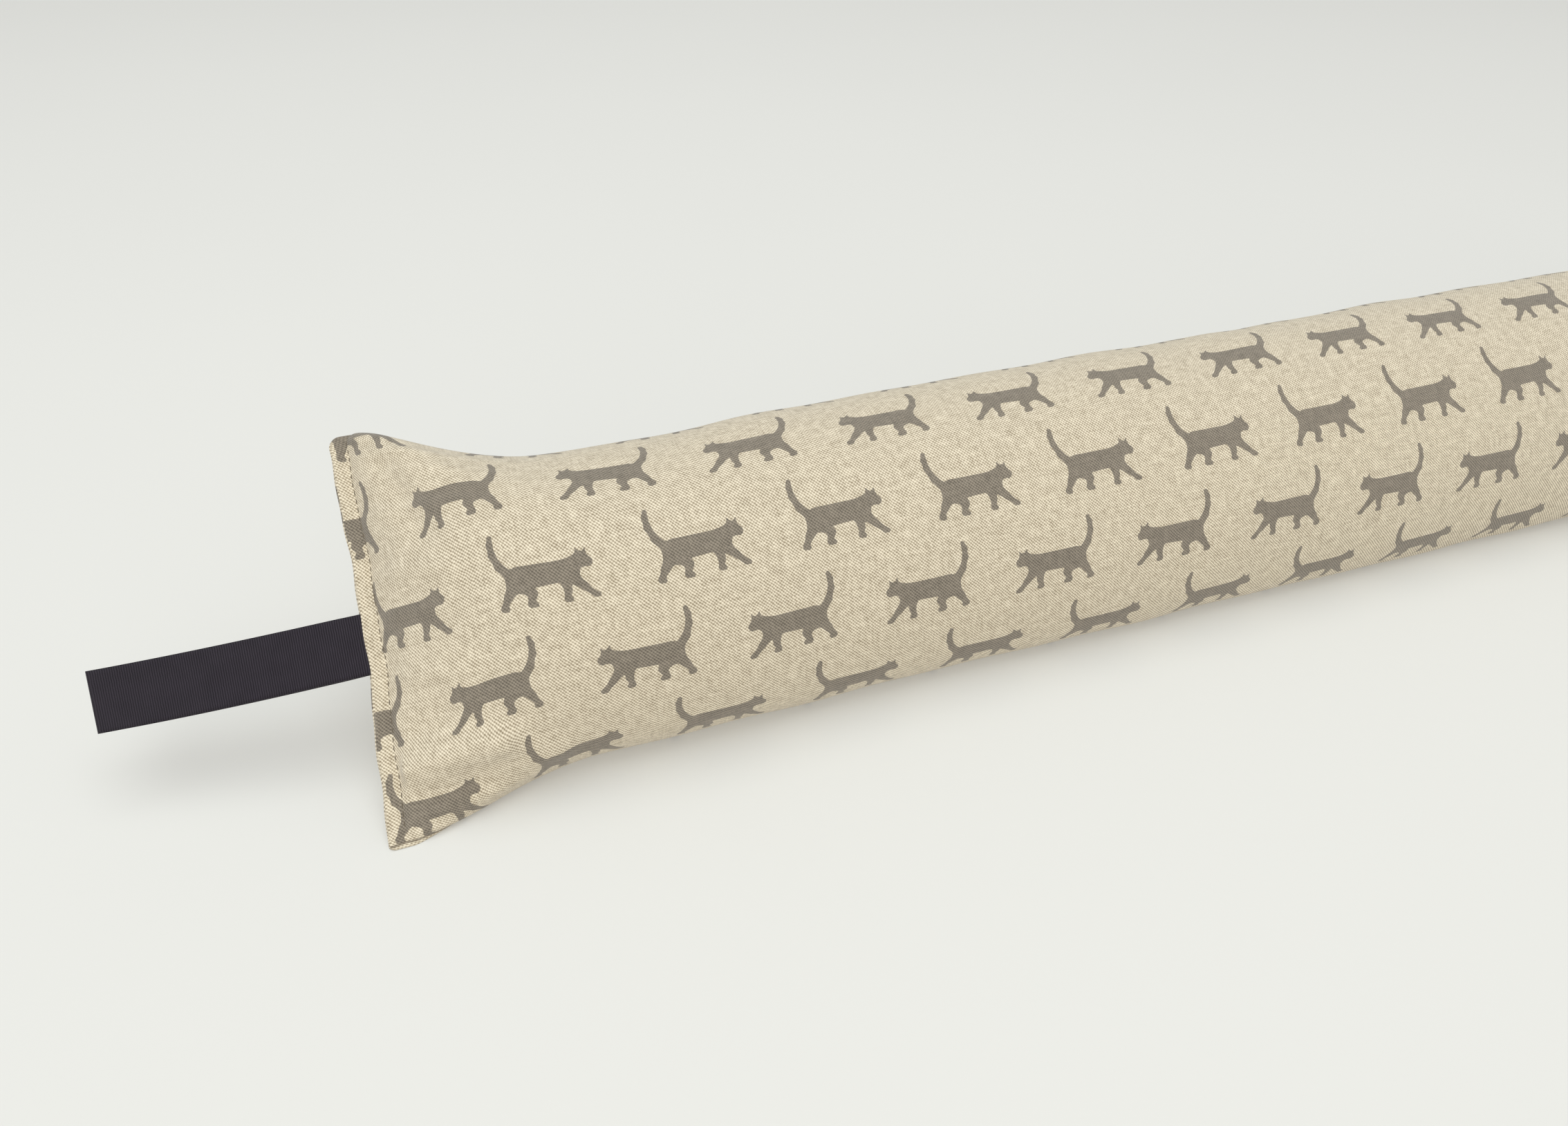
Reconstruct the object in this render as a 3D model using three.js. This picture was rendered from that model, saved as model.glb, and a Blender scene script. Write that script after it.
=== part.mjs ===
// A draught excluder: one filled tube of printed linen that lies along the foot of a door, sewn flat at
// both ends, with a doubled ribbon caught in one end seam to hang it up by.
// Millimetres, +Z up. X runs along the tube from the ribbon's end to the far end, and -Y is the front.
// The origin is on the flat underside, half way along and straight below the tube's axis.
import * as THREE from "three";

const { clamp, degToRad, lerp } = THREE.MathUtils;

// The cloth, folded lengthwise: the fold is the tube's upper back edge, the long seam its lower front edge.
const LENGTH = 880; // between the two end seams
const FLAT_WIDTH = 171; // across a sewn end, which is half the cloth's girth
const GIRTH = 2 * FLAT_WIDTH;

// The filled tube, an oval that leans back as it lies.
const TUBE_HALF_DEPTH = 41; // through the filling, square to the leaning face
const TUBE_LEAN = degToRad(39); // of the oval's long axis, back from upright
const FLATTENING = 5; // how far the tube's own weight presses the oval flat on the floor
const SAG = { depth: 26, behindAxis: 20, spread: 22 }; // the filling settles under the leaning back
// Slow changes in how tightly the tube is filled, as shares of its depth.
const FILL_WAVES = [
  { period: 900, phase: 3.6, share: 0.02 },
  { period: 190, phase: 2.1, share: 0.008 },
];

// The sewn ends: four layers of cloth turned in and topstitched, with an ear at each corner.
const SEAM_THICKNESS = 3;
const SEAM_BAND = 6; // from the edge to the topstitching
const STITCH_PINCH = { share: 0.25, spread: 1.6 }; // how the stitching draws the layers together
const SEAM_LEAN = degToRad(50);
const SEAM_SHIFT = { y: 2, z: 2 }; // of the seam's middle from the tube's axis
const SEAM_HOLLOW = 2; // how far the middle of the edge is drawn in behind the ears
const SEAM_SKEW = 2; // how far the upper ear is drawn in and the lower one stands out
const EDGE_FULLNESS = 0.3; // exponent that keeps the thin seam evenly thick almost to its ears
const END_RISE = 76; // from the topstitching to the full tube
const END_ROUNDNESS = 0.8; // exponent of that rise: lower is a blunter end
const SHOULDER = { fromEnd: 115, spread: 60, fuller: 0.06, forward: 3 }; // the filling packs behind the seam

// The ribbon, folded into a loop that stands out from the seam and droops a little.
const RIBBON_WIDTH = 25;
const RIBBON_REACH = 105; // from the seam to the fold
const RIBBON_THICKNESS = 1;
const RIBBON_LAYER_GAP = 1;
const RIBBON_DOWN_SEAM = 3.5; // the ribbon's middle lies this far below the seam's
const RIBBON_DROOP = { slope: 0.12, curl: 5 }; // share of the reach, and extra drop at the fold
const RIBBON_TWIST = degToRad(11); // how far its upper edge has come forward at the fold
const SEWN_GAP = 0.3; // between the ribbon's root and the seam

// How finely the surfaces are divided.
const ROUND_STEPS = 48;
const END_STEPS = 18;
const END_CROWDING = 1.7; // exponent that puts more sections close to the seam
const MIDDLE_STEPS = 18;
const RIBBON_STEPS = 12;
const FOLD_STEPS = 6;

const CLOTH = new THREE.MeshStandardMaterial({ color: 0xcbc3b2, roughness: 0.95, metalness: 0 });
const RIBBON = new THREE.MeshStandardMaterial({ color: 0x3a3338, roughness: 0.8, metalness: 0 });

const END_ZONE = SEAM_BAND + END_RISE;

// The length of an oval's outline, from its half axes.
function ovalGirth(halfWidth, halfDepth) {
  const root = Math.sqrt((3 * halfWidth + halfDepth) * (halfWidth + 3 * halfDepth));
  return Math.PI * (3 * (halfWidth + halfDepth) - root);
}

// The cloth doesn't stretch, so a flatter section is a wider one.
function halfWidthFor(halfDepth) {
  let narrow = 0;
  let wide = FLAT_WIDTH / 2;
  for (let i = 0; i < 40; i++) {
    const middle = (narrow + wide) / 2;
    if (ovalGirth(middle, halfDepth) < GIRTH) narrow = middle;
    else wide = middle;
  }
  return wide;
}

// How high the axis of a leaning oval lies over the floor that it is pressed on.
function axisHeight() {
  const up = halfWidthFor(TUBE_HALF_DEPTH) * Math.cos(TUBE_LEAN);
  const out = TUBE_HALF_DEPTH * Math.sin(TUBE_LEAN);
  return Math.hypot(up, out) - FLATTENING;
}

const AXIS_HEIGHT = axisHeight();

// The two directions of a section that leans by an angle: along the cloth's width and out of its front.
function leaningAxes(lean) {
  return {
    along: new THREE.Vector3(0, Math.sin(lean), Math.cos(lean)),
    front: new THREE.Vector3(0, -Math.cos(lean), Math.sin(lean)),
  };
}

// How full the tube is at a distance from its nearer end: 0 at the topstitching, 1 along the middle.
function fullness(fromEnd) {
  const share = clamp((fromEnd - SEAM_BAND) / END_RISE, 0, 1);
  return Math.sin((share * Math.PI) / 2) ** END_ROUNDNESS;
}

// How much of the shoulder there is at a distance from the nearer end.
function shoulder(fromEnd) {
  return Math.exp(-(((fromEnd - SHOULDER.fromEnd) / SHOULDER.spread) ** 2));
}

function halfDepthAt(x, fromEnd) {
  const pinch = STITCH_PINCH.share * Math.exp(-(((fromEnd - SEAM_BAND) / STITCH_PINCH.spread) ** 2));
  const seam = (SEAM_THICKNESS / 2) * (1 - pinch);
  let fill = 1 + SHOULDER.fuller * shoulder(fromEnd);
  for (const wave of FILL_WAVES) {
    fill += wave.share * Math.sin((2 * Math.PI * x) / wave.period + wave.phase);
  }
  return lerp(seam, TUBE_HALF_DEPTH * fill, fullness(fromEnd));
}

// How far a point of the end edge is drawn in, by its share of the way from the middle to the upper ear.
function drawnIn(share) {
  return SEAM_HOLLOW * (1 - share * share) + SEAM_SKEW * share;
}

// A point of the cover. The angle goes round the section from the fold, over the front and along the back.
function coverPoint(x, angle) {
  const fromEnd = LENGTH / 2 - Math.abs(x);
  const full = fullness(fromEnd);
  const halfDepth = halfDepthAt(x, fromEnd);
  const { along, front } = leaningAxes(lerp(SEAM_LEAN, TUBE_LEAN, full));
  const side = Math.sin(angle);
  const bulge = Math.sign(side) * halfDepth * Math.abs(side) ** lerp(EDGE_FULLNESS, 1, full);
  const forward = SHOULDER.forward * full * shoulder(fromEnd);
  const centre = new THREE.Vector3(0, -forward, AXIS_HEIGHT);
  centre.y += SEAM_SHIFT.y * (1 - full);
  centre.z += SEAM_SHIFT.z * (1 - full);
  const point = centre.clone();
  point.addScaledVector(along, halfWidthFor(halfDepth) * Math.cos(angle));
  point.addScaledVector(front, bulge);
  point.x = x - Math.sign(x) * drawnIn(Math.cos(angle)) * (1 - full);
  return settle(point, centre.z, full);
}

// The underside lies flat on the floor, and sags to it under the leaning back.
function settle(point, height, full) {
  const under = clamp((height - point.z) / height, 0, 1);
  const near = Math.exp(-(((point.y - SAG.behindAxis) / SAG.spread) ** 2));
  point.z = Math.max(0, point.z - full * SAG.depth * under * under * near);
  return point;
}

// Where the sections lie along the tube: crowded at the seams, even along the middle.
function sectionPlaces() {
  const places = [];
  for (let i = 0; i < END_STEPS; i++) {
    places.push(-LENGTH / 2 + END_ZONE * (i / END_STEPS) ** END_CROWDING);
  }
  const run = LENGTH - 2 * END_ZONE;
  for (let i = 0; i <= MIDDLE_STEPS; i++) places.push(-run / 2 + (run * i) / MIDDLE_STEPS);
  for (let i = END_STEPS - 1; i >= 0; i--) places.push(-places[i]);
  return places;
}

function coverGeometry() {
  const places = sectionPlaces();
  const vertices = [];
  const triangles = [];
  for (const x of places) {
    for (let j = 0; j < ROUND_STEPS; j++) vertices.push(...coverPoint(x, (2 * Math.PI * j) / ROUND_STEPS));
  }
  const at = (i, j) => i * ROUND_STEPS + ((j + ROUND_STEPS) % ROUND_STEPS);
  const last = places.length - 1;
  for (let i = 0; i < last; i++) {
    for (let j = 0; j < ROUND_STEPS; j++) {
      triangles.push(at(i, j), at(i, j + 1), at(i + 1, j));
      triangles.push(at(i, j + 1), at(i + 1, j + 1), at(i + 1, j));
    }
  }
  for (let j = 0; j < ROUND_STEPS / 2; j++) {
    if (j > 0) {
      triangles.push(at(0, j), at(0, -j), at(0, -j - 1));
      triangles.push(at(last, j), at(last, -j - 1), at(last, -j));
    }
    if (j < ROUND_STEPS / 2 - 1) {
      triangles.push(at(0, j), at(0, -j - 1), at(0, j + 1));
      triangles.push(at(last, j), at(last, j + 1), at(last, -j - 1));
    }
  }
  const geometry = new THREE.BufferGeometry();
  geometry.setAttribute("position", new THREE.Float32BufferAttribute(vertices, 3));
  geometry.setIndex(triangles);
  geometry.computeVertexNormals();
  return geometry;
}

// The loop seen along the ribbon's width: out on one side, round the fold and back on the other.
// A point is the distance out from the seam and the offset towards the front.
function ribbonOutline() {
  const inner = RIBBON_LAYER_GAP / 2;
  const outer = inner + RIBBON_THICKNESS;
  const foldStart = RIBBON_REACH - outer;
  const points = [];
  const leg = (offset, from, to) => {
    for (let i = 0; i <= RIBBON_STEPS; i++) {
      points.push(new THREE.Vector2(lerp(from, to, i / RIBBON_STEPS), offset));
    }
  };
  const fold = (radius, turn) => {
    for (let i = 1; i < FOLD_STEPS; i++) {
      const angle = turn * (Math.PI / 2 - (Math.PI * i) / FOLD_STEPS);
      points.push(new THREE.Vector2(foldStart + radius * Math.cos(angle), radius * Math.sin(angle)));
    }
  };
  leg(outer, SEWN_GAP, foldStart);
  fold(outer, 1);
  leg(-outer, foldStart, SEWN_GAP);
  leg(-inner, SEWN_GAP, foldStart);
  fold(inner, -1);
  leg(inner, foldStart, SEWN_GAP);
  return points;
}

// Twists and droops the straight loop, more towards its fold. Here x runs out along the ribbon, y towards
// the front and z along its width.
function bendRibbon(geometry) {
  const position = geometry.getAttribute("position");
  for (let i = 0; i < position.count; i++) {
    const out = position.getX(i);
    const turn = (RIBBON_TWIST * out) / RIBBON_REACH;
    const drop = RIBBON_DROOP.slope * out + RIBBON_DROOP.curl * (out / RIBBON_REACH) ** 2;
    const front = position.getY(i) - drop;
    const across = position.getZ(i) - RIBBON_WIDTH / 2;
    position.setY(i, front * Math.cos(turn) + across * Math.sin(turn));
    position.setZ(i, across * Math.cos(turn) - front * Math.sin(turn));
  }
  geometry.computeVertexNormals();
  return geometry;
}

function ribbonMesh() {
  const shape = new THREE.Shape(ribbonOutline());
  const straight = new THREE.ExtrudeGeometry(shape, { depth: RIBBON_WIDTH, steps: 1, bevelEnabled: false });
  const mesh = new THREE.Mesh(bendRibbon(straight), RIBBON);
  const { along, front } = leaningAxes(SEAM_LEAN);
  const outwards = new THREE.Vector3(-1, 0, 0);
  mesh.quaternion.setFromRotationMatrix(new THREE.Matrix4().makeBasis(outwards, front, along));
  const lowerEdge = -(RIBBON_DOWN_SEAM + RIBBON_WIDTH / 2);
  const seamX = -LENGTH / 2 + drawnIn(lowerEdge / (FLAT_WIDTH / 2));
  mesh.position.set(seamX, SEAM_SHIFT.y, AXIS_HEIGHT + SEAM_SHIFT.z);
  mesh.position.addScaledVector(along, -RIBBON_DOWN_SEAM);
  mesh.name = "hanging_loop";
  return mesh;
}

const cover = new THREE.Mesh(coverGeometry(), CLOTH);
cover.name = "cover";

const draughtExcluder = new THREE.Group();
draughtExcluder.add(cover, ribbonMesh());

export default draughtExcluder;
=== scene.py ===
"""The looks of a draught excluder: a stuffed linen tube printed with rows of walking cats, sewn flat at
both ends, with a ribbon loop caught in one end seam. Shapes are worked out in millimetres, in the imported
frame."""

import math
from collections import namedtuple

import bpy
import numpy as np
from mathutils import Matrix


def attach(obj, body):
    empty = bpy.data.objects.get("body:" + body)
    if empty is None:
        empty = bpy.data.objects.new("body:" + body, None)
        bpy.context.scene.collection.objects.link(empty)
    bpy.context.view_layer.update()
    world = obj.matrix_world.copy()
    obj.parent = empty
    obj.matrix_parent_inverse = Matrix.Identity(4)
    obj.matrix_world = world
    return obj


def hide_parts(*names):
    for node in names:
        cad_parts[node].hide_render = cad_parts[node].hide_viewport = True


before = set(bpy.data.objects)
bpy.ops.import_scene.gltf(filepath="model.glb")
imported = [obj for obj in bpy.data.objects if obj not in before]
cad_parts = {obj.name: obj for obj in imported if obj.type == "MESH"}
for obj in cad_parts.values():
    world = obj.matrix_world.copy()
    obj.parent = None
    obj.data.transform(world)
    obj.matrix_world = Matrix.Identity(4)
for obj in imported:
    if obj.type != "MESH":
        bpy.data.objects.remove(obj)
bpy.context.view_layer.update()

MM = 0.001

# The tube: the same measures as the solid that it replaces.
LENGTH = 880.0
FLAT_WIDTH = 171.0
GIRTH = 2 * FLAT_WIDTH
TUBE_HALF_DEPTH = 41.0
TUBE_LEAN = math.radians(39)
FLATTENING = 5.0
SAG_DEPTH = 26.0
SAG_BEHIND_AXIS = 20.0
SAG_SPREAD = 22.0
FillWave = namedtuple("FillWave", "period phase share")
FILL_WAVES = (
    FillWave(900.0, 3.6, 0.02),
    FillWave(190.0, 2.1, 0.008),
)
SEAM_THICKNESS = 3.0
SEAM_BAND = 6.0
STITCH_PINCH_SHARE = 0.25
STITCH_PINCH_SPREAD = 1.6
SEAM_LEAN = math.radians(50)
SEAM_SHIFT_Y = 2.0
SEAM_SHIFT_Z = 2.0
SEAM_HOLLOW = 2.0
SEAM_SKEW = 2.0
EDGE_FULLNESS = 0.3
END_RISE = 76.0
END_ROUNDNESS = 0.8
SHOULDER_FROM_END = 115.0
SHOULDER_SPREAD = 60.0
SHOULDER_FULLER = 0.06
SHOULDER_FORWARD = 3.0

# The ribbon: also as in the solid, but its root goes on into the seam.
RIBBON_WIDTH = 25.0
RIBBON_REACH = 105.0
RIBBON_THICKNESS = 0.9
RIBBON_LAYER_OFFSET = 1.0
RIBBON_ROOT_OFFSET = 0.5
RIBBON_ROOT_DEPTH = 3.0
RIBBON_DOWN_SEAM = 3.5
RIBBON_DROOP_SLOPE = 0.12
RIBBON_DROOP_CURL = 5.0
RIBBON_TWIST = math.radians(11)

# How finely the cover is divided.
ROUND_STEPS = 256
EDGE_STEP = 1.0
EDGE_REACH = 20.0
END_STEP = 2.2
END_REACH = 100.0
MIDDLE_STEP = 3.4

# The print: rows of cats, feet down the front, with every second row facing the other way.
ROW_PITCH = 38.7
FIRST_FEET = 8.2
CELL_TOP = 31.0
CAT_PITCH = 61.03
EVEN_ROW_START = 72.6
ODD_ROW_START = 104.9

# Towards the sewn ends the cloth is drawn down, most of all half way across, and the rows bend with it.
# Along the tube the print is rolled forward at the fold and lifted a little at the row below it.
PRINT_DRAWN_DOWN = 9.5
PRINT_DRAWN_REACH = 38.0
PRINT_DRAWN_EASE = 8.0
PRINT_SKEW = 0.054
PRINT_SKEW_PIVOT = 92.0
PRINT_ROLLED_FORWARD = 4.5
PRINT_ROLL_SPREAD = 13.0
PRINT_LIFTED = 2.6
PRINT_LIFT_PLACE = 46.0
PRINT_LIFT_SPREAD = 20.0

# A walking cat drawn as tapered strokes, facing +a with its feet at b = 0.
Stroke = namedtuple("Stroke", "a0 b0 r0 a1 b1 r1")
CAT = (
    # body, haunch and chest
    Stroke(-9.5, 11.6, 4.4, 8.0, 12.0, 4.0),
    Stroke(-10.5, 11.0, 4.6, -9.4, 10.2, 4.3),
    Stroke(8.4, 11.2, 4.3, 9.8, 11.6, 3.9),
    # neck, head and ears
    Stroke(10.0, 13.2, 3.1, 13.8, 14.8, 2.7),
    Stroke(15.0, 14.9, 2.9, 17.2, 13.8, 1.9),
    Stroke(14.2, 16.9, 1.05, 13.5, 19.1, 0.25),
    Stroke(16.2, 16.6, 0.95, 17.0, 18.7, 0.2),
    # fore legs
    Stroke(10.0, 9.4, 2.7, 14.2, 4.9, 1.4),
    Stroke(14.2, 4.9, 1.4, 17.6, 1.4, 1.05),
    Stroke(17.6, 1.4, 1.05, 18.8, 1.0, 0.95),
    Stroke(7.4, 8.8, 2.5, 7.8, 4.5, 1.4),
    Stroke(7.8, 4.5, 1.4, 7.0, 1.3, 1.05),
    Stroke(7.0, 1.3, 1.05, 8.3, 0.95, 0.95),
    # hind legs
    Stroke(-8.5, 9.0, 3.1, -5.6, 5.3, 1.8),
    Stroke(-5.6, 5.3, 1.8, -6.8, 1.5, 1.2),
    Stroke(-6.8, 1.5, 1.2, -5.0, 1.0, 1.0),
    Stroke(-12.0, 9.4, 3.1, -15.0, 5.5, 1.65),
    Stroke(-15.0, 5.5, 1.65, -17.6, 1.5, 1.15),
    Stroke(-17.6, 1.5, 1.15, -16.4, 1.0, 0.95),
    # tail
    Stroke(-13.2, 13.2, 2.0, -16.6, 17.2, 1.5),
    Stroke(-16.6, 17.2, 1.5, -18.4, 21.8, 1.3),
    Stroke(-18.4, 21.8, 1.3, -18.6, 25.4, 1.15),
    Stroke(-18.6, 25.4, 1.15, -18.0, 27.8, 1.0),
)
STROKE_JOIN = 1.5
PRINT_EDGE = 0.12
BLEED_SCALE = 1.3
BLEED_REACH = 0.3

# Colours, in linear light. The floor's glow keeps the shadow beside the tube pale.
CLOTH_LIGHT = (0.87, 0.775, 0.6, 1)
CLOTH_DARK = (0.265, 0.208, 0.132, 1)
PRINT_LIGHT = (0.315, 0.268, 0.208, 1)
PRINT_DARK = (0.105, 0.088, 0.066, 1)
# Painted shade for the dark line of the long seam, where the two edges of the cloth meet.
SEAM_SHADE = (0.13, 0.1, 0.07, 1)
RIBBON_LIGHT = (0.031, 0.0245, 0.034, 1)
RIBBON_DARK = (0.008, 0.006, 0.009, 1)
THREAD_COLOUR = (0.2, 0.16, 0.11, 1)
FLOOR_COLOUR = (0.57, 0.562, 0.532, 1)
FLOOR_GLOW = (0.19, 0.19, 0.181, 1)

# The camera of the photo.
PHOTO_WIDTH = 2268
FOCAL_PIXELS = 1650.0
SENSOR_WIDTH = 36.0
CAMERA_PLACE = (-0.396, -0.384, 0.3521)
CAMERA_YAW = math.radians(19.423)
CAMERA_PITCH = math.radians(36.7)


def oval_girth(half_width, half_depth):
    """Length round an oval."""
    root = math.sqrt((3 * half_width + half_depth) * (half_width + 3 * half_depth))
    return math.pi * (3 * (half_width + half_depth) - root)


def half_width_for(half_depth):
    """Half the width of an oval that has the cloth's girth."""
    low = 0.0
    high = FLAT_WIDTH / 2
    for _ in range(40):
        middle = (low + high) / 2
        if oval_girth(middle, half_depth) < GIRTH:
            low = middle
        else:
            high = middle
    return (low + high) / 2


TUBE_HALF_WIDTH = half_width_for(TUBE_HALF_DEPTH)
AXIS_HEIGHT = (
    math.hypot(TUBE_HALF_WIDTH * math.cos(TUBE_LEAN), TUBE_HALF_DEPTH * math.sin(TUBE_LEAN)) - FLATTENING
)


def lerp(low, high, share):
    return low + (high - low) * share


def leaning_axes(lean):
    """The section's long direction and its front, for a lean from upright."""
    along = np.array([0.0, math.sin(lean), math.cos(lean)])
    front = np.array([0.0, -math.cos(lean), math.sin(lean)])
    return along, front


def fullness(from_end):
    """How far the sewn end has opened into the tube, from 0 to 1."""
    share = min(max((from_end - SEAM_BAND) / END_RISE, 0.0), 1.0)
    return math.sin(math.pi / 2 * share) ** END_ROUNDNESS


def shoulder(from_end):
    return math.exp(-(((from_end - SHOULDER_FROM_END) / SHOULDER_SPREAD) ** 2))


def half_depth_at(x, from_end):
    pinch = STITCH_PINCH_SHARE * math.exp(-(((from_end - SEAM_BAND) / STITCH_PINCH_SPREAD) ** 2))
    seam = SEAM_THICKNESS / 2 * (1 - pinch)
    fill = 1 + SHOULDER_FULLER * shoulder(from_end)
    for wave in FILL_WAVES:
        fill += wave.share * math.sin(2 * math.pi * x / wave.period + wave.phase)
    return lerp(seam, TUBE_HALF_DEPTH * fill, fullness(from_end))


def drawn_in(share):
    """How far the end seam is drawn in, for a place across it from -1 to 1."""
    return SEAM_HOLLOW * (1 - share**2) + SEAM_SKEW * share


def cover_ring(x, angles):
    """The points of one section of the tube. Angle 0 is the fold and pi the long seam, with the front
    between them."""
    from_end = LENGTH / 2 - abs(x)
    full = fullness(from_end)
    half_depth = half_depth_at(x, from_end)
    half_width = half_width_for(half_depth)
    along, front = leaning_axes(lerp(SEAM_LEAN, TUBE_LEAN, full))
    side = np.sin(angles)
    across = np.cos(angles)
    bulge = np.sign(side) * half_depth * np.abs(side) ** lerp(EDGE_FULLNESS, 1.0, full)
    centre_y = -SHOULDER_FORWARD * full * shoulder(from_end) + SEAM_SHIFT_Y * (1 - full)
    centre_z = AXIS_HEIGHT + SEAM_SHIFT_Z * (1 - full)
    points = np.outer(across * half_width, along) + np.outer(bulge, front)
    points[:, 0] = x - math.copysign(1.0, x) * drawn_in(across) * (1 - full)
    points[:, 1] += centre_y
    points[:, 2] += centre_z
    under = np.clip((centre_z - points[:, 2]) / centre_z, 0, 1)
    sag = np.exp(-(((points[:, 1] - SAG_BEHIND_AXIS) / SAG_SPREAD) ** 2))
    points[:, 2] = np.maximum(0.0, points[:, 2] - full * SAG_DEPTH * under**2 * sag)
    return points


def half_rows():
    """Distances from an end to the middle, finest at the sewn edge."""
    rows = list(np.arange(0.0, EDGE_REACH, EDGE_STEP))
    end_count = round((END_REACH - EDGE_REACH) / END_STEP)
    middle_count = round((LENGTH / 2 - END_REACH) / MIDDLE_STEP)
    rows += list(np.linspace(EDGE_REACH, END_REACH, end_count, endpoint=False))
    rows += list(np.linspace(END_REACH, LENGTH / 2, middle_count))
    return rows


def row_places():
    """Places along X of all the sections, from the ribbon's end to the far end."""
    near = [row - LENGTH / 2 for row in half_rows()]
    far = [-x for x in reversed(near[:-1])]
    return near + far


def cover_grid():
    angles = np.linspace(0, 2 * math.pi, ROUND_STEPS, endpoint=False)
    return np.array([cover_ring(x, angles) for x in row_places()])


def cloth_places(grid):
    """Each point's place on the flat cloth: u along the tube from the ribbon's end, v down the front from
    the fold. The second and third results are v on the front and on the back, which part at the seam."""
    steps = np.linalg.norm(np.diff(grid, axis=0), axis=2)
    travelled = np.vstack([np.zeros((1, grid.shape[1])), np.cumsum(steps, axis=0)])
    middle = grid.shape[0] // 2
    u = travelled - travelled[middle] + LENGTH / 2
    closed = np.concatenate([grid, grid[:, :1]], axis=1)
    round_steps = np.linalg.norm(np.diff(closed, axis=1), axis=2)
    walked = np.hstack([np.zeros((grid.shape[0], 1)), np.cumsum(round_steps, axis=1)])
    half = grid.shape[1] // 2
    front_length = walked[:, half : half + 1]
    back_length = walked[:, -1:] - front_length
    front = walked[:, : half + 1] / front_length * FLAT_WIDTH
    back = (walked[:, half:] - walked[:, -1:]) / back_length * FLAT_WIDTH
    return u, front, back


def grid_normals(grid):
    """Outward directions on the grid."""
    along = np.gradient(grid, axis=0)
    round_about = np.roll(grid, -1, axis=1) - np.roll(grid, 1, axis=1)
    normals = np.cross(round_about, along)
    lengths = np.linalg.norm(normals, axis=2, keepdims=True)
    return normals / np.maximum(lengths, NEARLY_NOTHING)


# Relief: puckers by the end seams, lumps of stuffing and the groove of the long seam.
PUCKER_DEPTH = 0.55
PUCKER_FROM = 6.0
PUCKER_FADE = 16.0
PuckerWave = namedtuple("PuckerWave", "period phase share")
PUCKER_WAVES = (
    PuckerWave(13.0, 0.4, 0.5),
    PuckerWave(8.3, 2.2, 0.3),
    PuckerWave(21.0, 1.1, 0.4),
)
LumpWave = namedtuple("LumpWave", "along_period round_period phase")
LUMP_WAVES = (
    LumpWave(83.0, 171.0, 0.7),
    LumpWave(141.0, 114.0, 2.9),
    LumpWave(57.0, 85.5, 4.4),
)
LUMP_DEPTH = 0.25
SEAM_TURN = 3.4
SEAM_TURN_REACH = 34.0
SEAM_GROOVE_DEPTH = 1.1
SEAM_GROOVE_WIDTH = 1.7
SEAM_GROOVE_FADE = 12.0
CREASE_FADE = 4.0

# Soft troughs and ridges by the end seam. They run from one place on the cloth to another, u then v.
Crease = namedtuple("Crease", "u0 v0 u1 v1 width height")
CREASES = (
    Crease(6.0, 141.0, 44.0, 136.0, 6.0, 4.6),
    Crease(44.0, 136.0, 64.0, 146.0, 6.5, 1.6),
    Crease(10.0, 152.0, 34.0, 149.0, 5.5, -2.2),
    Crease(12.0, 127.0, 22.0, 122.0, 6.0, -1.3),
    Crease(13.0, 24.0, 24.0, 50.0, 8.0, -2.3),
    Crease(10.0, 62.0, 34.0, 66.0, 6.0, 0.7),
    Crease(11.0, 84.0, 28.0, 88.0, 6.0, -0.8),
    Crease(10.0, 104.0, 36.0, 110.0, 7.0, 0.7),
    Crease(16.0, 10.0, 40.0, 22.0, 6.0, 0.8),
    Crease(34.0, 158.0, 66.0, 148.0, 6.0, 0.9),
)


def crease_relief(u, v):
    """The creases, fading towards both their ends. Both ends of the tube and both faces have them."""
    to_end = np.minimum(u, LENGTH - u)
    total = 0
    for crease in CREASES:
        run = np.array([crease.u1 - crease.u0, crease.v1 - crease.v0])
        length = np.linalg.norm(run)
        along = ((to_end - crease.u0) * run[0] + (np.abs(v) - crease.v0) * run[1]) / length
        aside = ((np.abs(v) - crease.v0) * run[0] - (to_end - crease.u0) * run[1]) / length
        past = np.maximum(np.maximum(-along, along - length), 0)
        total = total + crease.height * np.exp(-((aside / crease.width) ** 2) - (past / crease.width) ** 2)
    return total


def relief(u, v, from_end):
    """How far the cloth stands out of the smooth form, in millimetres."""
    beyond = np.clip(from_end - PUCKER_FROM, 0, None)
    fade = beyond / PUCKER_FADE * np.exp(1 - beyond / PUCKER_FADE)
    puckers = 0
    for wave in PUCKER_WAVES:
        puckers = puckers + wave.share * np.sin(2 * math.pi * v / wave.period + wave.phase)
    lumps = 0
    for wave in LUMP_WAVES:
        along = np.sin(2 * math.pi * u / wave.along_period + wave.phase)
        round_about = np.sin(2 * math.pi * v / wave.round_period + wave.phase)
        lumps = lumps + along * round_about
    filled = np.clip((from_end - PUCKER_FROM) / END_RISE, 0, 1)
    turn = SEAM_TURN * np.exp(-((np.minimum(u, LENGTH - u) / SEAM_TURN_REACH) ** 2))
    from_seam = np.where(v > 0, FLAT_WIDTH - turn - v, FLAT_WIDTH + turn + v)
    groove = np.exp(-((from_seam / SEAM_GROOVE_WIDTH) ** 2)) * np.clip(from_end / SEAM_GROOVE_FADE, 0, 1)
    creases = crease_relief(u, v) * np.clip((from_end - PUCKER_FROM) / CREASE_FADE, 0, 1)
    return creases + PUCKER_DEPTH * puckers * fade + LUMP_DEPTH * lumps * filled - SEAM_GROOVE_DEPTH * groove


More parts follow.
